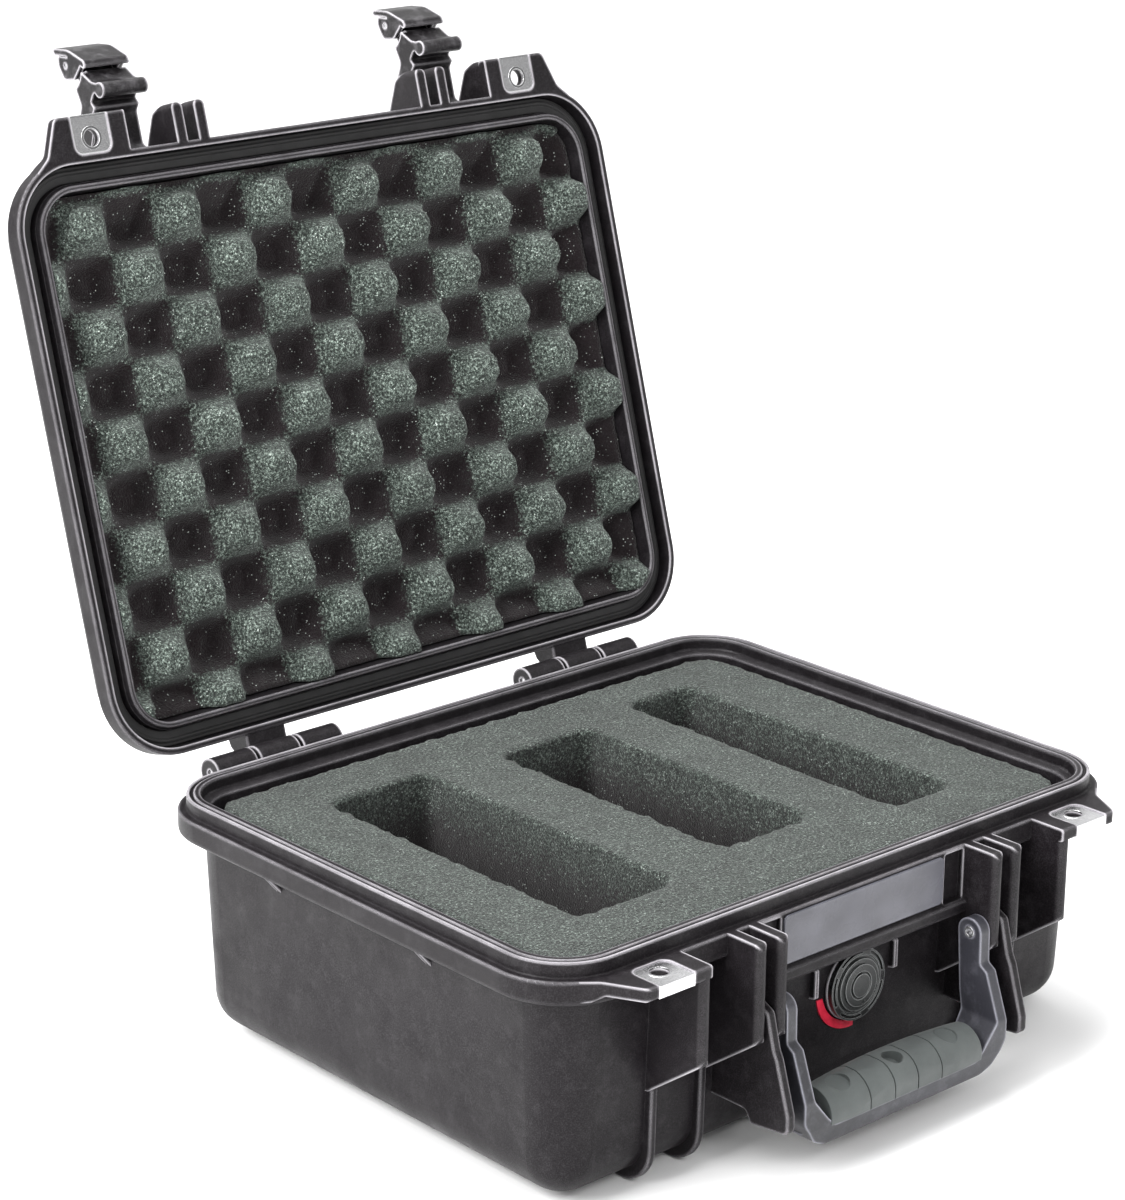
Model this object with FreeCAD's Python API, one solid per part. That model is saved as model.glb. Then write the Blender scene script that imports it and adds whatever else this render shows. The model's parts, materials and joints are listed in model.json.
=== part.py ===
import FreeCAD, Part
import math
import os

# Hard equipment case: a moulded base and lid with foam, two draw latches,
# four padlock tabs, two hinges, a folding handle and a pressure vent.
# Millimetres.  X runs to the right, -Y is the front, Z is up.  The origin is
# on the floor under the middle of the base.  Heights called "z" in the
# helpers are measured from the parting plane, where lid and base meet.
# The lid is written down in its closed position and then swung open.

Vec = FreeCAD.Vector

# ---- overall sizes ---------------------------------------------------------
FLANGE_HALF_X = 170.0
FLANGE_HALF_Y = 132.5
CORNER_RADIUS = 33.0
CORE_X = FLANGE_HALF_X - CORNER_RADIUS      # centres of the four round corners
CORE_Y = FLANGE_HALF_Y - CORNER_RADIUS
PARTING_Z = 107.5                           # height of the parting plane
LID_GAP = 0.2                               # air between the two rims
FLANGE_HEIGHT = 10.6
TAB_FRONT_Y = -150.0                        # front of tabs and fins

# ---- hinge, latch and handle lines -----------------------------------------
HINGE_Y = 144.4
HINGE_Z = -1.6
KNUCKLE_RADIUS = 7.0
KNUCKLE_WIDTH = 22.0
KNUCKLE_GAP = 2.1
LID_OPEN = -106.0                           # about +X, from closed
HINGE_X = 92.3
LATCH_X = 92.0                              # middle of each latch
LATCH_WIDTH = 24.0
LATCH_PIVOT = (-128.0, 18.0)                # y, z on the closed lid
LEVER_PIVOT = (-175.0, 39.6)                # y, z on the open latch
HANDLE_PIVOT = (-142.6, -35.0)
PIN_RADIUS = 1.95
PIN_HOLE = 2.0
FIT = 0.05

# ---- ribs and fins: left edge of each, on the right-hand side ---------------
RIB_THICKNESS = 5.5
INNER_FIN_X = 61.5
OUTER_FIN_X = 73.5
SLOT_WALL_X = 104.5
RUNNER_X = (79.0, 106.1)
RUNNER_THICKNESS = 3.6
FIN_TIP_RADIUS = 2.6
FLOOR_Z = -PARTING_Z

NAMEPLATE_HALF = 47.6

# ---- vent ------------------------------------------------------------------
VENT_X = 7.6
VENT_Z = -51.1
VENT_FACE_Y = -121.6                        # flat seat on the front wall

# ---- foam ------------------------------------------------------------------
POCKET_DEPTH = 68.0
POCKETS = (                                 # x from, x to, y from, y to
    (-112.0, -56.0, -81.0, 82.0),
    (-17.5, 36.5, -68.0, 77.0),
    (71.0, 111.0, -83.0, 88.0),
)

os.makedirs("parts", exist_ok=True)


# ---- drawing helpers -------------------------------------------------------
def face_from(corners, place):
    """Flat face from (a, b) or (a, b, radius) corners; place(a, b) gives the point."""
    flat = [Vec(corner[0], corner[1], 0) for corner in corners]
    radii = [corner[2] if len(corner) > 2 else 0.0 for corner in corners]
    arrive = []
    middle = []
    leave = []
    for index, here in enumerate(flat):
        before = (flat[index - 1] - here).normalize()
        after = (flat[(index + 1) % len(flat)] - here).normalize()
        radius = radii[index]
        if radius == 0.0:
            arrive.append(here)
            middle.append(None)
            leave.append(here)
            continue
        half = before.getAngle(after) / 2.0
        run = radius / math.tan(half)
        arrive.append(here + before * run)
        leave.append(here + after * run)
        inward = (before + after).normalize()
        middle.append(here + inward * (radius / math.sin(half) - radius))
    edges = []
    for index in range(len(flat)):
        if middle[index] is not None:
            points = (arrive[index], middle[index], leave[index])
            placed = [place(point.x, point.y) for point in points]
            edges.append(Part.Arc(*placed).toShape())
        start = leave[index]
        end = arrive[(index + 1) % len(flat)]
        if (end - start).Length > 1e-4:
            edges.append(Part.makeLine(place(start.x, start.y), place(end.x, end.y)))
    return Part.Face(Part.Wire(Part.__sortEdges__(edges)))


def soften(solid, axis, radius):
    """Round the edges of both end faces of a prism that runs along axis."""
    if radius == 0.0:
        return solid
    rims = []
    for edge in solid.Edges:
        first = edge.Vertexes[0].Point
        last = edge.Vertexes[-1].Point
        if abs((last - first).dot(axis)) < 1e-6:
            rims.append(edge)
    return solid.makeFillet(radius, rims)


def side_prism(corners, x_from, x_to, edge=0.0):
    """Prism along X from (y, z) corners."""
    face = face_from(corners, lambda y, z: Vec(x_from, y, z))
    return soften(face.extrude(Vec(x_to - x_from, 0, 0)), Vec(1, 0, 0), edge)


def plan_prism(corners, z_from, z_to, edge=0.0):
    """Prism along Z from (x, y) corners."""
    face = face_from(corners, lambda x, y: Vec(x, y, z_from))
    return soften(face.extrude(Vec(0, 0, z_to - z_from)), Vec(0, 0, 1), edge)


def front_prism(corners, y_from, y_to, edge=0.0):
    """Prism along Y from (x, z) corners."""
    face = face_from(corners, lambda x, z: Vec(x, y_from, z))
    return soften(face.extrude(Vec(0, y_to - y_from, 0)), Vec(0, 1, 0), edge)


def box(x_from, x_to, y_from, y_to, z_from, z_to):
    return Part.makeBox(x_to - x_from, y_to - y_from, z_to - z_from, Vec(x_from, y_from, z_from))


def rounded_rectangle(x_from, x_to, y_from, y_to, radius):
    return ((x_from, y_from, radius), (x_to, y_from, radius),
            (x_to, y_to, radius), (x_from, y_to, radius))


def rod(x_from, x_to, y, z, radius):
    """Round bar along X."""
    return Part.makeCylinder(radius, x_to - x_from, Vec(x_from, y, z), Vec(1, 0, 0))


def rod_back(x, z, radius, y_from, y_to):
    """Round bar along Y."""
    return Part.makeCylinder(radius, y_to - y_from, Vec(x, y_from, z), Vec(0, 1, 0))


def rod_up(x, y, radius, z_from, z_to):
    """Round bar along Z."""
    return Part.makeCylinder(radius, z_to - z_from, Vec(x, y, z_from), Vec(0, 0, 1))


def join(shapes):
    shapes = list(shapes)
    return shapes[0].multiFuse(shapes[1:]).removeSplitter()


def sweep_round(corners):
    """Carry a wall section round the case.

    Each corner is (u, z) or (u, z, radius), with u measured outward from the
    rectangle through the four corner centres.  A section that reaches u = 0
    is filled across the middle.
    """
    sides = ((0, CORE_X, CORE_Y), (90, CORE_Y, CORE_X), (180, CORE_X, CORE_Y), (270, CORE_Y, CORE_X))
    pieces = []
    for turn, reach, run in sides:
        straight = face_from(corners, lambda u, z: Vec(reach + u, -run, z))
        straight = straight.extrude(Vec(0, 2 * run, 0))
        bend = face_from(corners, lambda u, z: Vec(reach + u, run, z))
        bend = bend.revolve(Vec(reach, run, 0), Vec(0, 0, 1), 90)
        for piece in (straight, bend):
            piece.rotate(Vec(0, 0, 0), Vec(0, 0, 1), turn)
            pieces.append(piece)
    middle = [corner[1] for corner in corners if corner[0] == 0]
    if middle:
        pieces.append(box(-CORE_X, CORE_X, -CORE_Y, CORE_Y, min(middle), max(middle)))
    return join(pieces)


def mirrored(shape):
    """The same shape on the left-hand side."""
    return shape.mirror(Vec(0, 0, 0), Vec(1, 0, 0))


def pair(shape):
    return [shape, mirrored(shape)]


# ---- moving from the drawing position to the resting position ---------------
def seat_base(shape):
    shape.translate(Vec(0, 0, PARTING_Z))
    return shape


def seat_lid(shape):
    """Swing a closed-lid shape open and lift it to its height."""
    shape.rotate(Vec(0, HINGE_Y, HINGE_Z), Vec(1, 0, 0), LID_OPEN)
    return seat_base(shape)


def save(name, shape):
    shape.exportStep("parts/" + name + ".step")


def save_pair(name, shape, seat):
    """Write a right-hand shape and its left-hand mirror."""
    save(name + "_right", seat(shape.copy()))
    save(name + "_left", seat(mirrored(shape)))


# ---- the base shell ---------------------------------------------------------
BASE_OUTSIDE = (
    (0, -103.7), (17.9, -103.7, 18.0), (21.6, -FLANGE_HEIGHT, 2.0), (33.0, -FLANGE_HEIGHT, 2.5),
    (33.0, 0, 0.9), (29.2, 0, 0.8), (29.2, 6.5, 0.5), (27.7, 6.5, 0.4), (27.7, 5.3, 0.2),
    (26.1, 5.3, 0.2), (26.1, 6.5, 0.4), (0, 6.5),
)
BASE_INSIDE = (
    (0, -99.7), (14.0, -99.7, 14.0), (18.7, -0.6, 0.6), (19.6, 0, 0.8), (22.6, 1.0, 1.0),
    (22.6, 5.5, 0.4), (23.6, 7.0), (0, 7.0),
)


def tab_block(side_corners, front_x):
    """Padlock tab: its plan shape crossed with its side shape, right-hand side."""
    corners = ((SLOT_WALL_X, -112), (SLOT_WALL_X, TAB_FRONT_Y), (front_x, TAB_FRONT_Y, 3.5),
               (147.6, -133.2, 6), (154.0, -127.7), (148.0, -112))
    return plan_prism(corners, -40, 40).common(side_prism(side_corners, 100, 156))


def finger(side_corners, x_from):
    """Upright fin with a round front edge."""
    x_to = x_from + RIB_THICKNESS
    corners = ((x_from, -105), (x_from, TAB_FRONT_Y, FIN_TIP_RADIUS),
               (x_to, TAB_FRONT_Y, FIN_TIP_RADIUS), (x_to, -105))
    return side_prism(side_corners, x_from, x_to).common(plan_prism(corners, -80, 40))


TAB_HOLE = (123.4, -139.7)
PLATE_HALF = 9.5                            # the steel plate is 19 wide
PLATE_SHEET = 0.6
PLATE_SINK = 0.5
PLATE_BACK_Y = -132.9
PLATE_LIP = 0.2                             # height of a thin raised ring round the plate's hole
PLATE_LIP_RADIUS = 5.2
PADLOCK_RADIUS = 4.0                        # hole through the plate and the tab


def plate_space(top, tip):
    """Space for a padlock plate; top is the parting face, tip the far side of the tab."""
    into = 1.0 if tip > top else -1.0
    low, high = sorted((top - into * 2.0, top + into * (PLATE_SHEET + PLATE_SINK)))
    x, y = TAB_HOLE
    sheet = plan_prism(((x - PLATE_HALF, -152), (x + PLATE_HALF, -152),
                        (x + PLATE_HALF, PLATE_BACK_Y, 4), (x - PLATE_HALF, PLATE_BACK_Y, 4)), low, high)
    low, high = sorted((top, tip + into * 1.0))
    front = box(x - PLATE_HALF, x + PLATE_HALF, -152, TAB_FRONT_Y + PLATE_SHEET, low, high)
    hole = rod_up(x, y, PADLOCK_RADIUS, -30, 30)
    return join((sheet, front, hole))


def padlock_plate(top, tip):
    """Steel plate let into a tab and bent down its front, with a lip round the hole."""
    into = 1.0 if tip > top else -1.0
    x, y = TAB_HOLE
    face = top + into * PLATE_SINK
    low, high = sorted((face, face + into * PLATE_SHEET))
    sheet = plan_prism(((x - PLATE_HALF, TAB_FRONT_Y), (x + PLATE_HALF, TAB_FRONT_Y),
                        (x + PLATE_HALF, PLATE_BACK_Y, 4), (x - PLATE_HALF, PLATE_BACK_Y, 4)), low, high)
    low, high = sorted((face, tip))
    front = box(x - PLATE_HALF, x + PLATE_HALF, TAB_FRONT_Y, TAB_FRONT_Y + PLATE_SHEET, low, high)
    low, high = sorted((face - into * PLATE_LIP, face + into * PLATE_SHEET))
    lip = rod_up(x, y, PLATE_LIP_RADIUS, low, high)
    plate = join((sheet, front, lip))
    return plate.cut(rod_up(x, y, PADLOCK_RADIUS, -30, 30))


BASE_TAB_SIDE = ((-110, 0), (-150, 0, 1.2), (-150, -5.6, 1.2), (-134.6, -5.6, 2.5), (-130.5, -8.6, 3), (-110, -8.6))
FIN_SIDE = ((-110, 0), (-150, 0, 3), (-150, -42, 5), (-121, -63, 4), (-116, -64), (-110, -64))
SLOT_WALL_SIDE = ((-110, -3), (-150, -3), (-150, -42, 5), (-121, -63, 4), (-116, -64), (-110, -64))
GUARD_SIDE = (
    (-110, -27), (-143, -28, 3), (-149, -31, 3), (-153, -46, 4), (-155, -50, 2), (-161.8, -72, 3),
    (-161.8, -80, 3), (-141, -82.4, 2), (-138, -77, 3), (-110, -77),
)
RUNNER_SIDE = (
    (-112, -52), (-117.5, -52.5, 2), (-122.6, -60, 4), (-121.4, FLOOR_Z, 18),
    (121.4, FLOOR_Z, 18), (122.6, -60, 4), (117.5, -52.5, 2), (112, -52),
)
PANEL_SIDE = (
    (-105, 0), (-132.5, 0, 0.8), (-132.5, -23.6, 0.4), (-134.6, -25.2, 1), (-134.6, -30.4, 2),
    (-121.5, -34, 1), (-105, -34),
)
HINGE_SIDE = (
    (110, 0), (138.5, 0, 3), (144.4, -1.6), (149.35, -6.55), (121.8, -34, 3), (110, -36),
)


def knuckle_spans():
    """X ranges of the three knuckles of the right-hand hinge."""
    step = KNUCKLE_WIDTH + KNUCKLE_GAP
    half = KNUCKLE_WIDTH / 2.0
    return [(HINGE_X + offset * step - half, HINGE_X + offset * step + half) for offset in (-1, 0, 1)]


def build_base_shell():
    """Deep moulded tub with rim, tongue, tabs, fins, guards, runners and knuckles."""
    parts = [sweep_round(BASE_OUTSIDE)]
    right = [tab_block(BASE_TAB_SIDE, 138.6)]
    for x in (INNER_FIN_X, OUTER_FIN_X):
        right.append(finger(FIN_SIDE, x))
    right.append(finger(SLOT_WALL_SIDE, SLOT_WALL_X))
    right.append(side_prism(GUARD_SIDE, 68.0, 72.5, 0.8))
    for x in RUNNER_X:
        right.append(side_prism(RUNNER_SIDE, x, x + RUNNER_THICKNESS, 1.0))
    first, _, last = knuckle_spans()
    for x_from, x_to in (first, last):
        right.append(side_prism(HINGE_SIDE, x_from, x_to, 0.8))
        right.append(rod(x_from, x_to, HINGE_Y, HINGE_Z, KNUCKLE_RADIUS))
    for y in (-43.0, 55.0):
        gusset = front_prism(((150, -5), (166, -10, 1), (166, -11.5, 1), (157, -22), (150, -22)), y - 1.5, y + 1.5)
        right.append(gusset)
    for shape in right:
        parts.extend(pair(shape))
    parts.append(side_prism(PANEL_SIDE, -INNER_FIN_X - 0.5, INNER_FIN_X + 0.5))
    for x in (VENT_X - 24, VENT_X + 24):
        rib_side = ((-110, -38), (-123, -38, 1), (-123, -51, 1), (-110, -54))
        parts.append(side_prism(rib_side, x - 1.0, x + 1.0))
    parts.append(rod_back(VENT_X, VENT_Z, 16.4, VENT_FACE_Y, -112))
    centre_foot = rounded_rectangle(-40, 40, -16, 16, 8)
    parts.append(plan_prism(centre_foot, FLOOR_Z, FLOOR_Z + 5, 0.8))
    shell = join(parts)
    cuts = [sweep_round(BASE_INSIDE)]
    recess = rounded_rectangle(NAMEPLATE_HALF + 1.4, INNER_FIN_X - 0.8, -24.2, -1.6, 1.0)
    cuts.extend(pair(front_prism(recess, -136, -129.9)))
    cuts.extend(pair(plate_space(0.0, -5.6)))
    for x_from, x_to in (first, last):
        cuts.extend(pair(rod(x_from - 1, x_to + 1, HINGE_Y, HINGE_Z, PIN_HOLE)))
    y, z = HANDLE_PIVOT
    cuts.extend(pair(rod(INNER_FIN_X - 1, 70.0, y, z, HANDLE_PIN_RADIUS + FIT)))
    for cut in cuts:
        shell = shell.cut(cut)
    inner_boss = rod_back(VENT_X, VENT_Z, 15.0, -118.0, VENT_INNER_Y)
    shell = shell.fuse(inner_boss)
    shell = shell.cut(rod_back(VENT_X, VENT_Z, VENT_TUBE + FIT, -130, -100))
    return shell.removeSplitter()


# ---- the lid shell, drawn closed ---------------------------------------------
LID_TOP = 38.5
LID_OUTSIDE = (
    (0, LID_GAP), (33.0, LID_GAP, 0.9), (33.0, 9.6, 2.5), (22.8, 15.0, 4.0), (18.5, LID_TOP, 13.0), (0, LID_TOP),
)
LID_INSIDE = (
    (0, -6.0), (22.6, -6.0), (22.6, 4.5), (21.8, 4.5, 0.5), (20.6, 1.6, 0.5), (18.4, 1.6, 0.6),
    (15.0, 33.0, 10.0), (0, 33.0),
)
LID_GROOVE = ((21.8, -6.0), (29.8, -6.0), (29.8, 9.2), (21.8, 9.2))
LID_TAB_SIDE = ((-110, 0.2), (-150, 0.2, 1.2), (-150, 4.9, 1.2), (-134.6, 4.9, 2.5), (-130.5, 8.2, 3), (-110, 8.2))
EAR_SIDE = ((-110, 0.2), (-150, 0.2, 1.5), (-150, 10, 3), (-147, 16.5, 5), (-134, 24.5, 5), (-110, 28))
LID_HINGE_SIDE = ((112, 0.6), (138.5, 0.6, 1), (144.4, -1.6), (149.35, 3.35), (138.2, 14.5, 3), (112, 22))


def build_lid_shell():
    """Shallow moulded lid with rim, seal groove, tabs, fins and one knuckle per hinge."""
    parts = [sweep_round(LID_OUTSIDE)]
    right = [tab_block(LID_TAB_SIDE, 141.0)]
    for x in (INNER_FIN_X, OUTER_FIN_X, SLOT_WALL_X):
        right.append(finger(EAR_SIDE, x))
    _, middle, _ = knuckle_spans()
    right.append(side_prism(LID_HINGE_SIDE, middle[0], middle[1], 0.8))
    right.append(rod(middle[0], middle[1], HINGE_Y, HINGE_Z, KNUCKLE_RADIUS))
    for shape in right:
        parts.extend(pair(shape))
    for y in (-62.0, 0.0, 62.0):
        bar = rounded_rectangle(-118, 118, y - 9, y + 9, 8)
        parts.append(plan_prism(bar, LID_TOP - 1, LID_TOP + 2.6, 0.8))
    shell = join(parts)
    cuts = [sweep_round(LID_INSIDE), sweep_round(LID_GROOVE)]
    cuts.extend(pair(plate_space(LID_GAP, 4.9)))
    cuts.extend(pair(rod(middle[0] - 1, middle[1] + 1, HINGE_Y, HINGE_Z, PIN_RADIUS + FIT)))
    y, z = LATCH_PIVOT
    cuts.extend(pair(rod(OUTER_FIN_X + 1.5, SLOT_WALL_X + 4.0, y, z, PIN_HOLE)))
    for cut in cuts:
        shell = shell.cut(cut)
    return shell.removeSplitter()


GASKET = (
    (22.4, 9.15), (29.2, 9.15), (29.2, 7.6, 0.3), (28.0, 7.6), (27.2, 6.75, 0.3), (26.4, 6.75, 0.3),
    (25.6, 7.6), (22.4, 7.6, 0.3),
)


# ---- latches, drawn on the closed lid with the latch swung open ---------------
ARM_SIDE = (
    (-126.5, 22.6), (-135.0, 44.8, 3), (-150.4, 36.6, 6), (-156.0, 33.0, 3), (-168.5, 36.2, 2),
    (-171.0, 29.2, 2), (-165.2, 22.5, 3), (-163.8, 18.0), (-160.5, 18.0), (-159.6, 22.2, 0.8),
    (-156.4, 25.2, 0.8), (-153.4, 23.2, 0.8), (-150.5, 26.0, 2), (-135.5, 26.0, 3), (-131.5, 20.5),
)
NOSE = (-160.7, 17.0, 3.5)
LEVER_PLATE_SIDE = (
    (-169.8, 23.6, 1.2), (-175.2, 25.4, 2), (-181.6, 36.0, 14), (-184.0, 47.0, 1), (-181.2, 47.4, 1),
    (-179.0, 38.0, 10), (-173.4, 28.6, 1),
)
LEVER_CHEEK_SIDE = (
    (-180.2, 44.0), (-176.0, 45.0, 2), (-169.0, 42.4, 2), (-167.9, 35.0, 2), (-172.6, 28.6), (-176.0, 28.0),
)
CHEEK_INNER = 9.3
TIP_HALF = 8.9
LEVER_PIN_RADIUS = 1.25
LUG_RADIUS = 3.0


def build_latch_arm():
    """Latch arm with barrel, hook nose and a narrow tip that carries the lever."""
    half = LATCH_WIDTH / 2.0
    left = LATCH_X - half
    right = LATCH_X + half
    y, z = LATCH_PIVOT
    lever_y, lever_z = LEVER_PIVOT
    body = side_prism(ARM_SIDE, left, right)
    barrel = rod(left, right, y, z, 5.2)
    nose = rod(left, right, NOSE[0], NOSE[1], NOSE[2])
    arm = join((body, barrel, nose))
    for x in (left - 1, LATCH_X + TIP_HALF):
        arm = arm.cut(rod(x, x + half - TIP_HALF + 1, lever_y, lever_z, 12.0))
    neck = ((lever_y - 2.0, lever_z + 2.2), (-166.0, 35.0), (-167.0, 30.0), (lever_y - 1.0, lever_z - 2.8))
    lug = side_prism(neck, LATCH_X - TIP_HALF, LATCH_X + TIP_HALF)
    lug = lug.fuse(rod(LATCH_X - TIP_HALF, LATCH_X + TIP_HALF, lever_y, lever_z, LUG_RADIUS))
    arm = join((arm, lug))
    arm = arm.cut(rod(left - 1, right + 1, y, z, PIN_RADIUS + FIT))
    arm = arm.cut(rod(left - 1, right + 1, lever_y, lever_z, LEVER_PIN_RADIUS + FIT))
    return arm.removeSplitter()


def build_latch_lever():
    """Pull lever: a crowned plate with a finger lip and two cheeks on the pin."""
    half = LATCH_WIDTH / 2.0
    y, z = LEVER_PIVOT
    pieces = [side_prism(LEVER_PLATE_SIDE, LATCH_X - half, LATCH_X + half)]
    for side in (-1, 1):
        x_from, x_to = sorted((LATCH_X + side * CHEEK_INNER, LATCH_X + side * half))
        pieces.append(side_prism(LEVER_CHEEK_SIDE, x_from, x_to))
    lever = join(pieces)
    return lever.cut(rod(LATCH_X - half - 1, LATCH_X + half + 1, y, z, LEVER_PIN_RADIUS + 0.02))


# ---- handle -------------------------------------------------------------------
HANDLE_HALF = 61.0
HANDLE_ARM = 5.8
HANDLE_PIN_RADIUS = 2.5
HANDLE_SIDE = (
    (-136.4, -35.0), (-136.4, -28.8, 6.1), (-148.8, -28.8, 6.1), (-149.2, -48.0, 2), (-153.0, -50.5, 2),
    (-160.5, -71.0, 5), (-160.5, -84.0, 5), (-158.5, -94.2, 3), (-147.0, -94.2, 3), (-141.5, -80.0, 6),
    (-138.5, -62.0, 6),
)
STRIP_TOP_Z = -84.8                         # top of the strip under the grip
GRIP_HALF = 45.5
GRIP_CENTRE = (-150.3, -82.0)
GRIP_RADIUS = 12.0
GRIP_CROWN = (12.9, 10.6)                   # barrel radius in the middle and at the ends
GRIP_SIDE = (
    (-162.3, -70.0, 9.8), (-138.3, -70.0, 9.8), (-138.3, -92.6, 8), (-150.0, -92.6, 2), (-150.0, -85.6),
    (-162.3, -84.5, 1.2),
)
GRIP_GROOVES = ((-24.0, 0.9), (-9.5, 0.4), (4.5, 0.9), (19.0, 0.4))        # x, depth
GRIP_DIMPLES = ((-34.5, 5.2, 10.4), (-2.5, 4.6, 7.6), (30.5, 5.2, 10.5))  # x, radius, floor radius


def build_handle_frame():
    """U-shaped carrying handle with a core bar hidden inside the grip."""
    outer = HANDLE_HALF
    inner = HANDLE_HALF - HANDLE_ARM
    u_shape = (
        (-outer, -20), (-outer, -80, 7), (-54, -90, 6), (-45, -94.2, 6),
        (45, -94.2, 6), (54, -90, 6), (outer, -80, 7), (outer, -20),
        (inner, -20), (inner, -71, 3), (GRIP_HALF + 1.5, -81, 3), (GRIP_HALF - 3, STRIP_TOP_Z, 3),
        (3 - GRIP_HALF, STRIP_TOP_Z, 3), (-GRIP_HALF - 1.5, -81, 3), (-inner, -71, 3), (-inner, -20),
    )
    silhouette = side_prism(HANDLE_SIDE, -outer, outer)
    frame = silhouette.common(front_prism(u_shape, -175, -130))
    y, z = GRIP_CENTRE
    core = side_prism(rounded_rectangle(y - 4.5, y + 4.5, z - 6.0, z + 4.5, 1.5), -inner - 1, inner + 1)
    frame = join((frame, core))
    y, z = HANDLE_PIVOT
    return frame.cut(rod(-outer - 1, outer + 1, y, z, HANDLE_PIN_RADIUS + FIT))


def build_handle_grip(frame):
    """Soft grip moulded round the core bar, with grooves and thumb dimples."""
    y, z = GRIP_CENTRE
    middle, end = GRIP_CROWN
    crown = Part.Arc(Vec(-GRIP_HALF, y, z + end), Vec(0, y, z + middle), Vec(GRIP_HALF, y, z + end)).toShape()
    sides = Part.makePolygon([Vec(GRIP_HALF, y, z + end), Vec(GRIP_HALF, y, z),
                              Vec(-GRIP_HALF, y, z), Vec(-GRIP_HALF, y, z + end)])
    barrel = Part.Face(Part.Wire([crown] + sides.Edges)).revolve(Vec(0, y, z), Vec(1, 0, 0), 360)
    grip = side_prism(GRIP_SIDE, -GRIP_HALF, GRIP_HALF).common(barrel)
    for x, depth in GRIP_GROOVES:
        ring = rod(x - 0.35, x + 0.35, y, z, GRIP_RADIUS + 8.0)
        ring = ring.cut(rod(x - 1.0, x + 1.0, y, z, GRIP_RADIUS - depth))
        grip = grip.cut(ring)
    outward = Vec(0, -0.25, 0.97).normalize()
    for x, radius, floor in GRIP_DIMPLES:
        grip = grip.cut(Part.makeCylinder(radius, 8.0, Vec(x, y, z) + outward * floor, outward))
    return grip.cut(frame).removeSplitter()


# ---- vent -----------------------------------------------------------------------
VENT_TUBE = 10.0
VENT_INNER_Y = -114.4
VENT_SEAL = 0.5


def build_vent():
    """Six pieces of the pressure vent, in the order they sit on the wall."""
    face = VENT_FACE_Y
    seal = rod_back(VENT_X, VENT_Z, 12.8, face - VENT_SEAL, face)
    seal = seal.cut(rod_back(VENT_X, VENT_Z, VENT_TUBE + FIT, face - 2, face + 2))
    flange_y = face - VENT_SEAL - 1.8
    body = rod_back(VENT_X, VENT_Z, 12.8, flange_y, face - VENT_SEAL)
    body = body.fuse(rod_back(VENT_X, VENT_Z, VENT_TUBE, flange_y, VENT_INNER_Y + 5.0))
    body = body.cut(rod_back(VENT_X, VENT_Z, 7.0, flange_y - 1, -117.0))
    body = body.cut(rod_back(VENT_X, VENT_Z, 5.5, -118.0, -100.0))
    membrane = rod_back(VENT_X, VENT_Z, 6.95, -117.6, -117.0)
    ring = rod_back(VENT_X, VENT_Z, 16.0, face - 2.6, face)
    ring = ring.cut(rod_back(VENT_X, VENT_Z, 13.1, face - 4, face + 1))
    groove = rod_back(VENT_X, VENT_Z, 15.1, face - 3.0, face - 1.4)
    groove = groove.cut(rod_back(VENT_X, VENT_Z, 13.9, face - 4, face))
    for step in range(5):
        bridge = box(VENT_X + 12, VENT_X + 17, face - 4.0, face, VENT_Z - 2.4, VENT_Z + 2.4)
        bridge.rotate(Vec(VENT_X, 0, VENT_Z), Vec(0, 1, 0), 360.0 / 5 * step)
        groove = groove.cut(bridge)
    ring = ring.cut(groove)
    cap = rod_back(VENT_X, VENT_Z, 11.6, flange_y - 1.0, flange_y)
    cap = cap.fuse(rod_back(VENT_X, VENT_Z, 9.4, flange_y - 1.9, flange_y))
    cap = cap.cut(rod_back(VENT_X, VENT_Z, 6.2, flange_y - 3, flange_y - 1.0))
    cap = cap.fuse(rod_back(VENT_X, VENT_Z, 5.2, flange_y - 2.2, flange_y))
    nut_points = []
    for step in range(6):
        angle = math.radians(60 * step)
        nut_points.append((VENT_X + 14.0 * math.cos(angle), VENT_Z + 14.0 * math.sin(angle)))
    nut = front_prism(nut_points, VENT_INNER_Y, VENT_INNER_Y + 4.0)
    nut = nut.cut(rod_back(VENT_X, VENT_Z, VENT_TUBE + FIT, -130, -100))
    return {"valve_seal": seal, "valve_body": body, "valve_membrane": membrane,
            "valve_ring": ring, "valve_cap": cap, "valve_nut": nut}


def build_vent_label(shell):
    """Blank crescent stuck to the wall beside the vent."""
    band = rod_back(VENT_X, VENT_Z, 20.8, -119.9, -117.0)
    band = band.cut(rod_back(VENT_X + 1.4, VENT_Z + 1.4, 19.0, -123, -110))
    keep = box(VENT_X - 22, VENT_X + 2, -124, -110, VENT_Z - 22, VENT_Z - 3)
    return band.common(keep).cut(shell)


# ---- foam -------------------------------------------------------------------------
BASE_FOAM = ((0, -99.4), (12.8, -99.4, 12.5), (14.6, -0.2, 1.5), (0, -0.2))
LID_FOAM = ((0, 2.2), (14.6, 2.2, 3.0), (14.2, 32.8, 9.5), (0, 32.8))


def build_base_foam():
    """Base foam as a thick top layer with pockets and a plain bottom layer."""
    block = sweep_round(BASE_FOAM)
    split = -POCKET_DEPTH
    top = block.common(box(-200, 200, -200, 200, split, 10))
    bottom = block.common(box(-200, 200, -200, 200, -120, split - 0.3))
    for x_from, x_to, y_from, y_to in POCKETS:
        pocket = rounded_rectangle(x_from, x_to, y_from, y_to, 5)
        top = top.cut(plan_prism(pocket, split - 5, 10))
    notch = box(VENT_X - 16, VENT_X + 16, -125, -108.5, VENT_Z - 16.5, VENT_Z + 16)
    return top.cut(notch), bottom


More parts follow.
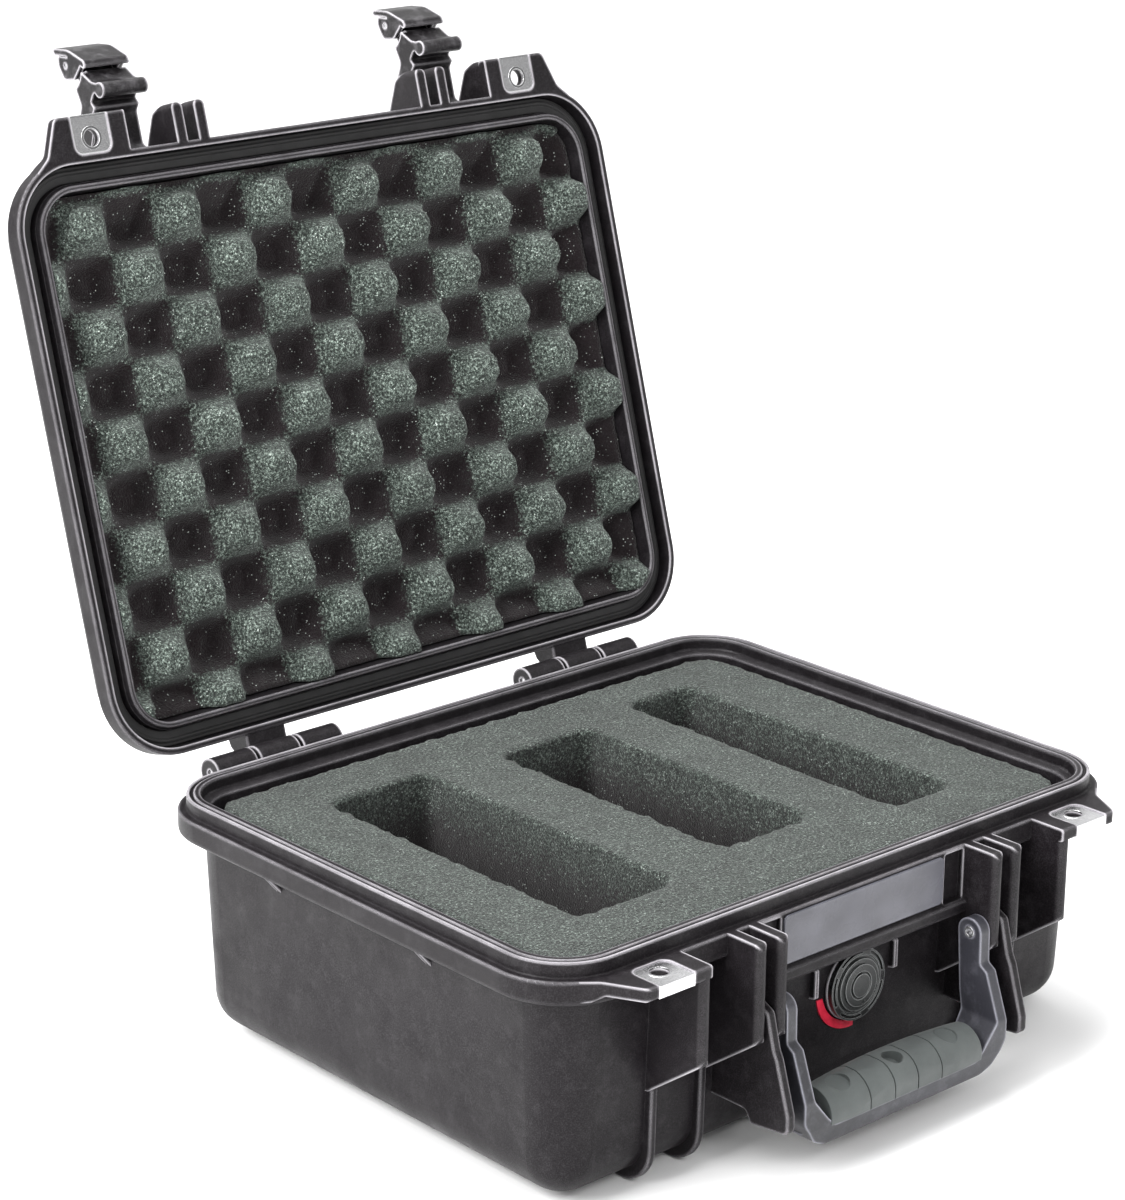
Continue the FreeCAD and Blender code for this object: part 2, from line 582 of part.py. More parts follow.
# ---- write every node -------------------------------------------------------------
base_shell = build_base_shell()
vent_label = build_vent_label(base_shell)
save("base_shell", seat_base(base_shell))
save("lid_shell", seat_lid(build_lid_shell()))
save("lid_gasket", seat_lid(sweep_round(GASKET)))
top_foam, bottom_foam = build_base_foam()
save("base_foam_pad", seat_base(top_foam))
save("base_foam_bottom", seat_base(bottom_foam))
save("lid_foam", seat_lid(sweep_round(LID_FOAM)))

hinge_pin = rod(knuckle_spans()[0][0] + 1, knuckle_spans()[2][1] - 1, HINGE_Y, HINGE_Z, PIN_RADIUS)
save_pair("hinge_pin", hinge_pin, seat_base)
save_pair("padlock_plate_base", padlock_plate(0.0, -5.6), seat_base)
save_pair("padlock_plate_lid", padlock_plate(LID_GAP, 4.9), seat_lid)

save_pair("latch_arm", build_latch_arm(), seat_lid)
save_pair("latch_lever", build_latch_lever(), seat_lid)
latch_pin = rod(OUTER_FIN_X + 1.6, SLOT_WALL_X + 3.9, *LATCH_PIVOT, PIN_RADIUS)
save_pair("latch_pin", latch_pin, seat_lid)
lever_pin = rod(LATCH_X - LATCH_WIDTH / 2 + 0.4, LATCH_X + LATCH_WIDTH / 2 - 0.4, *LEVER_PIVOT, LEVER_PIN_RADIUS)
save_pair("lever_pin", lever_pin, seat_lid)

frame = build_handle_frame()
save("handle_grip", seat_base(build_handle_grip(frame)))
save("handle_frame", seat_base(frame))
pin_end = HANDLE_HALF - HANDLE_ARM - 0.4
handle_pin = rod(pin_end, 69.9, *HANDLE_PIVOT, HANDLE_PIN_RADIUS)
handle_pin = handle_pin.cut(rod(pin_end - 1, pin_end + 3.0, *HANDLE_PIVOT, HANDLE_PIN_RADIUS - 0.8))
save_pair("handle_pin", handle_pin, seat_base)

nameplate = rounded_rectangle(-NAMEPLATE_HALF, NAMEPLATE_HALF, -22.8, -1.6, 2.5)
nameplate = front_prism(nameplate, -133.5, -132.5)
save("nameplate", seat_base(nameplate))
for name, piece in build_vent().items():
    save(name, seat_base(piece))
save("valve_label", seat_base(vent_label))
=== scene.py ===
import json
import math

import bmesh
import bpy
from mathutils import Matrix, Vector, noise


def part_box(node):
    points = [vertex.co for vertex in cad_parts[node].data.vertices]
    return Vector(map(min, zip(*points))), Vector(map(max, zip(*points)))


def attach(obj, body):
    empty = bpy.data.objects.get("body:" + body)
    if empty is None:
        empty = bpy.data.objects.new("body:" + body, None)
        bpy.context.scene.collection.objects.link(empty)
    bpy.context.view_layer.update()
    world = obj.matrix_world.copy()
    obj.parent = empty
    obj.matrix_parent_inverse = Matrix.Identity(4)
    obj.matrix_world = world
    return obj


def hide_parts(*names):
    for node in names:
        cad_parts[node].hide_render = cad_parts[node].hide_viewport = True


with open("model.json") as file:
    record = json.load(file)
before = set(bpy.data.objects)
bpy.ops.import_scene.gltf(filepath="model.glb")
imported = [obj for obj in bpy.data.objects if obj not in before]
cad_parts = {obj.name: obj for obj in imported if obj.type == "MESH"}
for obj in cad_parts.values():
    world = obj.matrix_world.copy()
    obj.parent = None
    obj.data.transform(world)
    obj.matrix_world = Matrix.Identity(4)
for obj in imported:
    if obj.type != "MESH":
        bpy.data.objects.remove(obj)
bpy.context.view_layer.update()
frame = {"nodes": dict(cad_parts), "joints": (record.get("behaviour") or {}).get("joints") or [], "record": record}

# A hard equipment case, standing open.  The moulded shells, latches, handle
# and vent are the CAD nodes with procedural materials; the three foam pieces
# are modelled here.  All sizes are in metres.

JOINTS = {joint["name"]: joint for joint in frame["joints"]}
LID_HINGE = Vector(JOINTS["lid_hinge"]["pos_m"])
LID_OPEN = math.radians(JOINTS["lid_hinge"]["range_deg"][0])
LID_SWING = (
    Matrix.Translation(LID_HINGE)
    @ Matrix.Rotation(LID_OPEN, 4, "X")
    @ Matrix.Translation(-LID_HINGE)
)
PARTING_Z = 0.1075                  # height of the plane where lid and base meet
CORE_X = 0.137                      # centres of the rounded corners of both shells
CORE_Y = 0.0995


# ---- small helpers for node materials ----------------------------------------
EDGE_SAMPLES = 6                    # rays to round edges and to find outside corners


class Shader:
    """A material with one Principled shader and short calls to add nodes."""

    def __init__(self, name, **sockets):
        self.material = bpy.data.materials.new(name)
        self.material.use_nodes = True
        self.tree = self.material.node_tree
        self.surface = self.tree.nodes["Principled BSDF"]
        self.place = self.add("ShaderNodeTexCoord").outputs["Object"]
        for socket, value in sockets.items():
            self.set(socket.replace("_", " "), value)

    def set(self, socket, value):
        self.surface.inputs[socket].default_value = value

    def add(self, kind, **settings):
        node = self.tree.nodes.new(kind)
        for key, value in settings.items():
            setattr(node, key, value)
        return node

    def link(self, source, target):
        self.tree.links.new(source, target)

    def noise(self, scale, detail=2.0, roughness=0.5, stretch=None):
        """Cloudy noise; the scale is in waves per metre."""
        node = self.add("ShaderNodeTexNoise")
        node.inputs["Scale"].default_value = scale
        node.inputs["Detail"].default_value = detail
        node.inputs["Roughness"].default_value = roughness
        self.link(self.stretched(stretch), node.inputs["Vector"])
        return node.outputs["Fac"]

    def cells(self, scale):
        """Distance to the nearest of many scattered points."""
        node = self.add("ShaderNodeTexVoronoi")
        node.inputs["Scale"].default_value = scale
        self.link(self.place, node.inputs["Vector"])
        return node.outputs["Distance"]

    def stretched(self, stretch):
        if stretch is None:
            return self.place
        node = self.add("ShaderNodeMapping")
        node.inputs["Scale"].default_value = stretch
        self.link(self.place, node.inputs["Vector"])
        return node.outputs["Vector"]

    def remap(self, source, low, high, to_low, to_high):
        node = self.add("ShaderNodeMapRange")
        node.inputs["From Min"].default_value = low
        node.inputs["From Max"].default_value = high
        node.inputs["To Min"].default_value = to_low
        node.inputs["To Max"].default_value = to_high
        self.link(source, node.inputs["Value"])
        return node.outputs["Result"]

    def math(self, operation, first, second):
        node = self.add("ShaderNodeMath", operation=operation)
        for index, value in enumerate((first, second)):
            if isinstance(value, (int, float)):
                node.inputs[index].default_value = value
            else:
                self.link(value, node.inputs[index])
        return node.outputs["Value"]

    def ramp(self, source, stops):
        node = self.add("ShaderNodeValToRGB")
        elements = node.color_ramp.elements
        while len(elements) < len(stops):
            elements.new(0.5)
        for element, (position, colour) in zip(elements, stops):
            element.position = position
            element.color = (*colour, 1.0)
        self.link(source, node.inputs["Fac"])
        return node.outputs["Color"]

    def mix(self, amount, first, second):
        node = self.add("ShaderNodeMix", data_type="RGBA")
        self.link(amount, node.inputs["Factor"])
        for name, value in (("A", first), ("B", second)):
            socket = [item for item in node.inputs if item.name == name and item.type == "RGBA"][0]
            if isinstance(value, tuple):
                socket.default_value = (*value, 1.0)
            else:
                self.link(value, socket)
        return [item for item in node.outputs if item.type == "RGBA"][0]

    def soft_normal(self, radius):
        """Surface normal with sharp edges rounded off."""
        bevel = self.add("ShaderNodeBevel", samples=EDGE_SAMPLES)
        bevel.inputs["Radius"].default_value = radius
        return bevel.outputs["Normal"]

    def convex(self, distance, low=0.2, high=0.55):
        """1 on outside corners and fillets, 0 on flat faces and in hollows."""
        node = self.add("ShaderNodeAmbientOcclusion", inside=True, only_local=True, samples=EDGE_SAMPLES)
        node.inputs["Distance"].default_value = distance
        return self.remap(self.math("SUBTRACT", 1.0, node.outputs["AO"]), low, high, 0.0, 1.0)

    def attribute(self, name):
        node = self.add("ShaderNodeAttribute", attribute_name=name)
        return node.outputs["Fac"]

    def bump(self, height, distance, normal=None):
        node = self.add("ShaderNodeBump")
        node.inputs["Strength"].default_value = 1.0
        node.inputs["Distance"].default_value = distance
        self.link(height, node.inputs["Height"])
        if normal is not None:
            self.link(normal, node.inputs["Normal"])
        self.link(node.outputs["Normal"], self.surface.inputs["Normal"])

    def colour(self, source):
        self.link(source, self.surface.inputs["Base Color"])

    def rough(self, source):
        self.link(source, self.surface.inputs["Roughness"])


# ---- materials ----------------------------------------------------------------
PLASTIC_GRAIN = 0.00006             # height of the spark texture
PLASTIC_EDGE_RADIUS = 0.0006
EDGE_POLISH = 0.12                  # how much smoother the rubbed outside edges are, which also carry the painted highlight


def moulded_plastic(name, dark, light, edge, shine=(0.34, 0.52), gloss=0.22, scuff_and_sheen=0.02, highlight_width=0.0013):
    """Injection-moulded plastic: fine spark texture, slow colour drift, pale patches of painted sheen and scuffs,
    and polished edges with a painted highlight.

    dark and light are the ends of the colour drift, and edge is the colour of the spark flecks, of the pale
    patches and of the painted highlight on outside corners.
    shine is the range of roughness, scuff_and_sheen the strength of the pale patches, which are painted sheen and
    scuffs, and highlight_width the width of the painted highlight.
    """
    shader = Shader(name, Specular_IOR_Level=gloss)
    drift = shader.noise(14.0, detail=3.0)
    spark = shader.remap(shader.noise(1900.0, detail=2.0, roughness=0.7), 0.45, 0.75, 0.0, 0.045)
    body = shader.mix(spark, shader.ramp(drift, ((0.3, dark), (0.75, light))), edge)
    # Pale patches mixed towards the pale colour: painted sheen, which also stands for scuffs.
    patches = shader.remap(shader.noise(140.0, detail=6.0, roughness=0.7), 0.5, 0.7, 0.0, scuff_and_sheen)
    body = shader.mix(patches, body, edge)
    soft_normal = shader.soft_normal(PLASTIC_EDGE_RADIUS)
    # Painted highlight: outside corners and fillets are mixed unevenly towards the pale colour, and the same mask
    # makes them a little less rough.
    uneven = shader.remap(shader.noise(55.0), 0.3, 0.6, 0.6, 1.0)
    painted_highlight_and_polish = shader.math("MULTIPLY", shader.convex(highlight_width, 0.12, 0.42), uneven)
    shader.colour(shader.mix(painted_highlight_and_polish, body, edge))
    rough = shader.remap(shader.noise(60.0, detail=4.0), 0.3, 0.7, *shine)
    shader.rough(shader.math("SUBTRACT", rough, shader.math("MULTIPLY", painted_highlight_and_polish, EDGE_POLISH)))
    shader.bump(shader.noise(2600.0, detail=3.0, roughness=0.7), PLASTIC_GRAIN, normal=soft_normal)
    return shader.material


FOAM_CELL_DEPTH = 0.0011


def foam_material(name, painted_light_level):
    """Open-cell foam: grey-green skin with pale flecks, with painted shade read from a vertex attribute, and the
    whole colour scaled by a painted light level, so that pieces are lit or shaded copies.
    """
    shader = Shader(name, Roughness=0.95, Specular_IOR_Level=0.1, Sheen_Weight=0.12, Sheen_Roughness=0.6)
    grain = shader.noise(860.0, detail=5.0, roughness=0.9)
    patch = shader.noise(70.0, detail=4.0)
    body = shader.ramp(grain, (
        (0.41, (0.001, 0.0015, 0.0012)), (0.48, (0.021, 0.027, 0.023)),
        (0.54, (0.056, 0.072, 0.062)), (0.65, (0.37, 0.44, 0.39)),
    ))
    # Dark colour of the painted shade in the foam's hollows.
    shade_colour = shader.ramp(grain, ((0.48, (0.0065, 0.0035, 0.0045)), (0.74, (0.020, 0.017, 0.018))))
    fleck = shader.remap(shader.noise(620.0, detail=4.0, roughness=0.8), 0.35, 0.65, -0.40, 0.40)
    # Painted shade: where the stored shade value is high the colour goes to the dark shade colour, and flecks
    # break up the boundary.
    speckled_shade = shader.math("SUBTRACT", shader.attribute("painted_shade_amount"), fleck)
    in_shade = shader.remap(speckled_shade, 0.30, 0.70, 0.0, 1.0)
    skin = shader.mix(in_shade, body, shade_colour)
    shine = shader.remap(shader.cells(640.0), 0.10, 0.22, 0.9, 0.0)
    in_clusters = shader.remap(shader.noise(260.0, detail=3.0), 0.52, 0.60, 0.0, 1.0)
    shine = shader.math("MULTIPLY", shine, in_clusters)
    skin = shader.mix(shine, skin, (0.60, 0.66, 0.62))
    # Random patchy variation times the painted light level of this copy, so pieces of one foam become lit and
    # shaded copies.
    shaded = shader.remap(patch, 0.3, 0.7, 0.76 * painted_light_level, 1.18 * painted_light_level)
    darken = shader.add("ShaderNodeMix", data_type="RGBA", blend_type="MULTIPLY")
    darken.inputs["Factor"].default_value = 1.0
    colours = [item for item in darken.inputs if item.type == "RGBA"]
    shader.link(skin, colours[0])
    shader.link(shaded, colours[1])
    shader.colour([item for item in darken.outputs if item.type == "RGBA"][0])
    shader.bump(shader.noise(1300.0, detail=3.0), FOAM_CELL_DEPTH)
    return shader.material


SCRATCH_DEPTH = 0.00003
STEEL_EDGE_RADIUS = 0.0003
STEEL_HIGHLIGHT_WIDTH = 0.0007                  # width of the painted highlight along outside edges


def steel_material(name, stretch, dark=0.40, light=0.70, roughness=(0.16, 0.34)):
    """Brushed stainless steel with fine scratches along one direction and a painted highlight along outside edges.
    """
    shader = Shader(name, Metallic=1.0, Anisotropic=0.4)
    scratch = shader.noise(900.0, detail=4.0, roughness=0.7, stretch=stretch)
    face = shader.ramp(scratch, ((0.3, (dark, dark, dark * 1.02)), (0.7, (light, light, light * 1.02))))
    # Painted highlight: outside edges are mixed towards near-white.
    shader.colour(shader.mix(shader.convex(STEEL_HIGHLIGHT_WIDTH), face, (0.92, 0.92, 0.93)))
    shader.rough(shader.remap(scratch, 0.3, 0.7, *roughness))
    soft_normal = shader.soft_normal(STEEL_EDGE_RADIUS)
    shader.bump(scratch, SCRATCH_DEPTH, normal=soft_normal)
    return shader.material


RUBBER_GRAIN = 0.00005
RUBBER_EDGE_RADIUS = 0.0005


def rubber_material(name, dark, light):
    """Moulded rubber with a soft sheen and a little dust."""
    shader = Shader(name, Specular_IOR_Level=0.4, Sheen_Weight=0.12, Sheen_Roughness=0.5)
    dust = shader.noise(45.0, detail=5.0, roughness=0.6)
    shader.colour(shader.ramp(dust, ((0.3, dark), (0.7, light))))
    shader.rough(shader.remap(shader.noise(160.0, detail=3.0), 0.3, 0.7, 0.45, 0.62))
    soft_normal = shader.soft_normal(RUBBER_EDGE_RADIUS)
    shader.bump(shader.noise(1900.0, detail=2.0), RUBBER_GRAIN, normal=soft_normal)
    return shader.material


def label_material(name):
    """Printed vinyl label, blank."""
    shader = Shader(name, Coat_Weight=0.3, Coat_Roughness=0.2)
    reds = ((0.3, (0.50, 0.008, 0.03)), (0.7, (0.72, 0.02, 0.06)))
    shader.colour(shader.ramp(shader.noise(300.0, detail=3.0), reds))
    shader.rough(shader.remap(shader.noise(500.0), 0.3, 0.7, 0.28, 0.4))
    shader.bump(shader.noise(700.0), 0.00002)
    return shader.material


def mesh_material(name):
    """Woven vent membrane."""
    shader = Shader(name, Roughness=0.9)
    weave = shader.noise(2500.0, detail=2.0)
    shader.colour(shader.ramp(weave, ((0.35, (0.35, 0.35, 0.34)), (0.65, (0.72, 0.72, 0.70)))))
    shader.bump(weave, 0.0001)
    return shader.material


# The fourth colour of each plastic is pale: it paints the highlight along outside corners, and it colours the
# spark flecks and the pale patches.
SHELL = moulded_plastic(
    "shell_plastic", (0.0040, 0.0030, 0.0038), (0.0068, 0.0053, 0.0066), (0.48, 0.46, 0.49), gloss=0.15)
LATCH = moulded_plastic(
    "latch_plastic", (0.0038, 0.0030, 0.0036), (0.0070, 0.0058, 0.0069), (0.50, 0.48, 0.51),
    shine=(0.28, 0.42), scuff_and_sheen=0.10)
HANDLE = moulded_plastic(
    "handle_plastic", (0.0110, 0.0110, 0.0140), (0.0320, 0.0320, 0.0400), (0.26, 0.26, 0.30),
    shine=(0.30, 0.45), gloss=0.4, scuff_and_sheen=0.12)
NAMEPLATE = moulded_plastic(
    "nameplate_plastic", (0.010, 0.010, 0.014), (0.024, 0.024, 0.030), (0.10, 0.10, 0.12),
    shine=(0.30, 0.42), gloss=0.5)
VALVE = moulded_plastic(
    "valve_plastic", (0.005, 0.005, 0.005), (0.010, 0.010, 0.011), (0.24, 0.25, 0.25),
    shine=(0.2, 0.35), gloss=0.4, highlight_width=0.0005)
VALVE_CAP = moulded_plastic(
    "valve_cap_plastic", (0.012, 0.013, 0.013), (0.022, 0.024, 0.024), (0.32, 0.33, 0.33),
    shine=(0.2, 0.35), gloss=0.4, highlight_width=0.0005)
GRIP = rubber_material("grip_rubber", (0.046, 0.053, 0.052), (0.074, 0.083, 0.081))
GASKET = rubber_material("gasket_rubber", (0.008, 0.008, 0.008), (0.016, 0.015, 0.016))
SEAL = rubber_material("seal_rubber", (0.010, 0.010, 0.010), (0.018, 0.018, 0.018))
STEEL = steel_material("stainless", (1.0, 12.0, 12.0))
# A darker copy of the stainless for the lid's padlock plates: painted shade.
LID_STEEL_SHADED = steel_material("stainless_shaded", (1.0, 12.0, 12.0), dark=0.10, light=0.20)
PIN_STEEL = steel_material("pin_steel", (1.0, 10.0, 10.0), roughness=(0.25, 0.4))
LABEL = label_material("label_red")
MEMBRANE = mesh_material("membrane")
# Lit and shaded copies of one foam: the base pieces get a low painted light level (painted shade inside the tub),
# and the lid pad gets a high one (painted light).
FOAM_SHADED = foam_material("foam", 0.58)
LID_FOAM_LIT = foam_material("foam_lid_pad_lit", 1.3)

NODE_MATERIALS = {
    "shell_plastic": SHELL, "latch_plastic": LATCH, "handle_plastic": HANDLE, "grip_rubber": GRIP,
    "gasket_rubber": GASKET, "stainless": STEEL, "pin_steel": PIN_STEEL, "nameplate_plastic": NAMEPLATE,
    "valve_plastic": VALVE, "valve_cap_plastic": VALVE_CAP, "seal_rubber": SEAL, "label_red": LABEL,
    "membrane": MEMBRANE, "foam": FOAM_SHADED,
}
for part in frame["record"]["subparts"]:
    node = frame["nodes"][part["node"]]
    node.data.materials.clear()
    node.data.materials.append(NODE_MATERIALS[part["material_slot"]])
# The lid's padlock plates get the darker copy of the stainless, which is painted shade.
for side in ("left", "right"):
    frame["nodes"]["padlock_plate_lid_" + side].data.materials[0] = LID_STEEL_SHADED


# ---- foam -----------------------------------------------------------------------
def add_object(name, mesh):
    piece = bpy.data.objects.new(name, mesh)
    bpy.context.scene.collection.objects.link(piece)
    return piece


def bake(piece):
    """Apply the piece's modifiers and remove them."""
    bpy.context.view_layer.update()
    evaluated = piece.evaluated_get(bpy.context.evaluated_depsgraph_get())
    mesh = bpy.data.meshes.new_from_object(evaluated)
    piece.modifiers.clear()
    piece.data = mesh
    return piece


def round_outline(half_x, half_y, radius, steps=10):
    """Points of a rounded rectangle about the origin, anticlockwise."""
    points = []
    for turn, (sign_x, sign_y) in enumerate(((1, 1), (-1, 1), (-1, -1), (1, -1))):
        for step in range(steps + 1):
            angle = math.radians(90 * (turn + step / steps))
            x = sign_x * (half_x - radius) + radius * math.cos(angle)
            y = sign_y * (half_y - radius) + radius * math.sin(angle)
            points.append((x, y))
    return points


def block(name, rings):
    """Closed solid through stacked outlines; each ring is (points, z)."""
    shape = bmesh.new()
    layers = [[shape.verts.new((x, y, z)) for x, y in points] for points, z in rings]
    count = len(layers[0])
    for lower, upper in zip(layers, layers[1:]):
        for index in range(count):
            after = (index + 1) % count
            shape.faces.new((lower[index], lower[after], upper[after], upper[index]))
    shape.faces.new(list(reversed(layers[0])))
    shape.faces.new(layers[-1])
    mesh = bpy.data.meshes.new(name)
    shape.to_mesh(mesh)
    shape.free()
    return add_object(name, mesh)


STEEP_NORMAL = 0.8                  # faces whose normal rises less than this are walls
TORN_EDGE_DEPTH = 0.006             # how far below the top the cut walls are rougher


def ragged(piece, amount, scale, top=None):
    """Push every vertex along its normal by smooth noise; rougher near the top edge."""
    mesh = piece.data
    mesh.update()
    normals = [vertex.normal.copy() for vertex in mesh.vertices]
    for vertex, normal in zip(mesh.vertices, normals):
        place = vertex.co * scale
        push = noise.noise(place) + 0.5 * noise.noise(place * 2.3)
        if top is not None and abs(normal.z) < STEEP_NORMAL:
            near = max(0.0, 1.0 - (top - vertex.co.z) / TORN_EDGE_DEPTH)
            push *= 1.0 + 2.0 * near
        vertex.co += normal * amount * push


def clamp(value):
    return min(1.0, max(0.0, value))


def voxel_remesh(piece, size):
    """Add a modifier that rebuilds the piece from cubes of this size."""
    remesh = piece.modifiers.new("remesh", "REMESH")
    remesh.mode = "VOXEL"
    remesh.voxel_size = size


def store_painted_shade(piece, shade_at):
    """Store the painted shade of each vertex, 0 on the outer skin and 1 at the bottom, where it is fully dark."""
    values = [shade_at(vertex.co) for vertex in piece.data.vertices]
    layer = piece.data.attributes.new("painted_shade_amount", "FLOAT", "POINT")
    layer.data.foreach_set("value", values)


def finish_foam(piece, material, body, *nodes):
    piece.data.materials.clear()
    piece.data.materials.append(material)
    for polygon in piece.data.polygons:
        polygon.use_smooth = True
    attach(piece, body)
    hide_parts(*nodes)


# Pockets of the base foam: x from, x to, y from, y to.
POCKETS = (
    (-0.112, -0.056, -0.081, 0.082),
    (-0.0175, 0.0365, -0.068, 0.077),
    (0.071, 0.111, -0.083, 0.088),
)
POCKET_RADIUS = 0.006
POCKET_TRIM = 0.001                 # each pocket is cut this much short on every side
FOAM_GAP = 0.0005                   # the pad stays this far inside its CAD outline
PAD_TAPER = 0.0012
PAD_VOXEL = 0.0020
BOTTOM_VOXEL = 0.003
SKIN_DEPTH = 0.002                  # the painted shade in the pockets starts this far below the top and is full this much lower
SHADE_DEPTH = 0.030                 # and are fully dark this much lower
# Painted shade over the whole plain bottom layer, which is seen through the pockets.
BOTTOM_SHADE = 0.85


def base_foam():
    """The cut pad with its pockets, and the plain layer under it."""
    low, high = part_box("base_foam_pad")
    half_x = high.x - FOAM_GAP
    half_y = high.y - FOAM_GAP
    # Each ring is an inset from the sides with its corner radius, and a height.
    rings = [
        (round_outline(half_x - PAD_TAPER, half_y - PAD_TAPER, 0.013), low.z + 0.0002),
        (round_outline(half_x - 0.0002, half_y - 0.0002, 0.0145), high.z - 0.0030),
        (round_outline(half_x - 0.0014, half_y - 0.0014, 0.0140), high.z - 0.0006),
        (round_outline(half_x - 0.0032, half_y - 0.0032, 0.0130), high.z - 0.0002),
    ]
    pad = block("foam_base_pad", rings)
    for index, (x_from, x_to, y_from, y_to) in enumerate(POCKETS):
        half_width = (x_to - x_from) / 2 - POCKET_TRIM
        half_length = (y_to - y_from) / 2 - POCKET_TRIM
        outline = round_outline(half_width, half_length, POCKET_RADIUS, steps=5)
        outline = [(x + (x_from + x_to) / 2, y + (y_from + y_to) / 2) for x, y in outline]
        cutter = block("pocket_%d" % index, [(outline, low.z - 0.01), (outline, high.z + 0.01)])
        cut = pad.modifiers.new("cut", "BOOLEAN")
        cut.operation = "DIFFERENCE"
        cut.object = cutter
        bake(pad)
        bpy.data.objects.remove(cutter)
    voxel_remesh(pad, PAD_VOXEL)
    smooth = pad.modifiers.new("smooth", "SMOOTH")
    smooth.iterations = 2
    bake(pad)
    ragged(pad, amount=0.00045, scale=160.0, top=high.z)
    # Painted shade: the pockets get darker further below the top.
    store_painted_shade(pad, lambda place: clamp((high.z - place.z - SKIN_DEPTH) / SHADE_DEPTH))
    finish_foam(pad, FOAM_SHADED, "base", "base_foam_pad")

    low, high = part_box("base_foam_bottom")
    rings = [
        (round_outline(high.x - 0.0135, high.y - 0.0135, 0.011), low.z + 0.0005),
        (round_outline(high.x - 0.0060, high.y - 0.0060, 0.013), low.z + 0.0030),
        (round_outline(high.x - 0.0020, high.y - 0.0020, 0.0135), low.z + 0.0110),
        (round_outline(high.x - 0.0006, high.y - 0.0006, 0.0135), high.z - 0.0006),
    ]
    bottom = block("foam_base_bottom", rings)
    voxel_remesh(bottom, BOTTOM_VOXEL)
    bake(bottom)
    ragged(bottom, amount=0.0002, scale=140.0)
    # Painted shade: the bottom layer is dark all over.
    store_painted_shade(bottom, lambda place: BOTTOM_SHADE)
    finish_foam(bottom, FOAM_SHADED, "base", "base_foam_bottom")


EGG_PITCH = (0.0507, 0.0478)
EGG_CENTRE = (-0.0032, -0.0055)     # middle of one valley, lid closed
EGG_LOW = 0.0225                    # height of a valley above the parting plane
EGG_HIGH = 0.0010                   # height of a peak
EGG_RIM = (0.014, 0.62)             # width of the border where valleys fill in, and how high
EGG_STEEPNESS = 1.55                # above 1 the tops and bottoms are cut flat
EGG_BIAS = 0.05                     # valleys a little wider than peaks
EGG_LIT = 0.6                       # peaks above this are in full light
EGG_SHADE_RANGE = 0.25              # and this much lower is fully dark
# Coarse and fine unevenness: height, scale across, scale along, slice of the noise.
EGG_RIPPLES = ((0.0009, 18, 14, 3.0), (0.0005, 60, 45, 7.0))
EGG_PLAN_EDGE = 0.016               # the wave pattern ends this far past the corner centres
LID_FOAM_STEP = 0.0020              # grid of the foam's surface
GRID_MARGIN = 16                    # extra grid steps past the corner centres
LID_FOAM_BACK = 0.0325              # height of the flat back of the pad
LID_CORNER = 0.016
LID_WALL_START = 0.0176             # room past the corner centres at the lid's mouth,
LID_WALL_FROM = 0.0016              # which is this far above the parting plane,
LID_WALL_SLOPE = 0.108              # and how fast it narrows further in


def egg_height(x, y):
    """0 at the bottom of a valley and 1 on a peak of the egg-crate surface."""
    across = math.cos(2 * math.pi * (x - EGG_CENTRE[0]) / EGG_PITCH[0])
    along = math.cos(2 * math.pi * (y - EGG_CENTRE[1]) / EGG_PITCH[1])
    wave = max(-1.0, min(1.0, -EGG_STEEPNESS * across * along - EGG_BIAS))
    return 0.5 + 0.5 * wave


def lid_room(height):
    """How far foam at this height may reach past the corner centres of the lid."""
    return LID_WALL_START - (height - LID_WALL_FROM) * LID_WALL_SLOPE


def round_corner(x, y, half_x, half_y):
    """Pull a point of a rectangular grid inside a rectangle with round corners."""
    over_x = abs(x) - (half_x - LID_CORNER)
    over_y = abs(y) - (half_y - LID_CORNER)
    if over_x > 0 and over_y > 0:
        shrink = max(over_x, over_y) / math.hypot(over_x, over_y)
        x = math.copysign(half_x - LID_CORNER + over_x * shrink, x)
        y = math.copysign(half_y - LID_CORNER + over_y * shrink, y)
    return x, y


